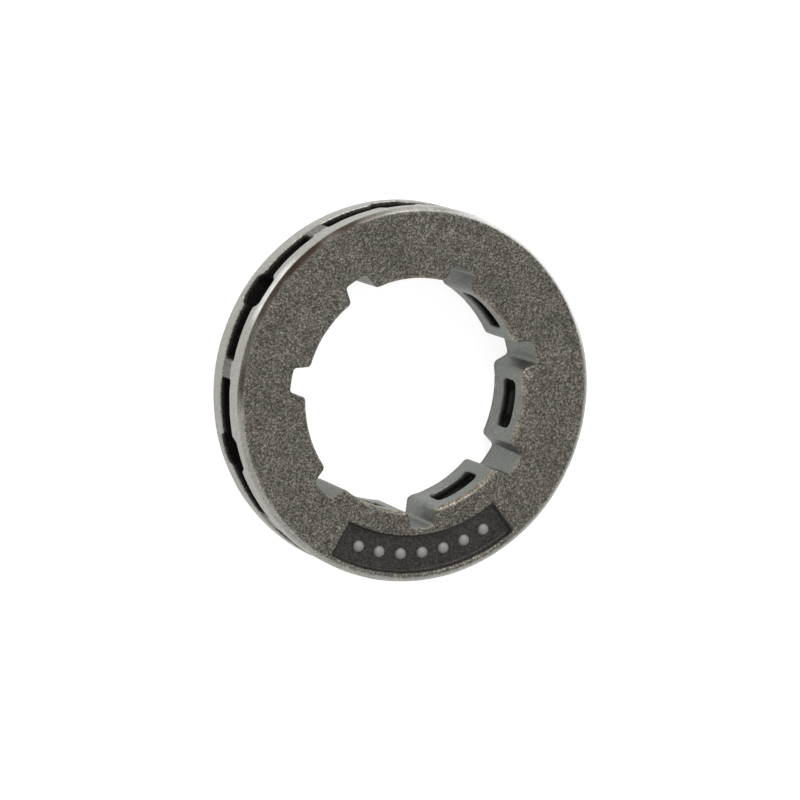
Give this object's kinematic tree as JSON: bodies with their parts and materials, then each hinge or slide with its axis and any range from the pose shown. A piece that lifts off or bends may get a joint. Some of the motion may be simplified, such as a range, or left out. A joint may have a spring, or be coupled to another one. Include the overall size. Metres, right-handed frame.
{
  "type": "rim drive sprocket",
  "caption": "Cast steel rim sprocket for a garden chainsaw: a splined ring whose outside is hollowed into pockets that pull the saw chain's drive links.",
  "frame": {"origin": "centre of the bore on the back face, which lies on the ground", "axes": "+Z along the bore towards the front face with the sunk panel; the panel and one tooth point to -Y"},
  "size_m": [0.0315, 0.0314, 0.0064],
  "materials": {
    "cast_steel": "fine-grained investment casting, blasted grey, with a slight sheen"
  },
  "bodies": {
    "root": {"drive_rim": "cast_steel"}
  },
  "joints": []
}
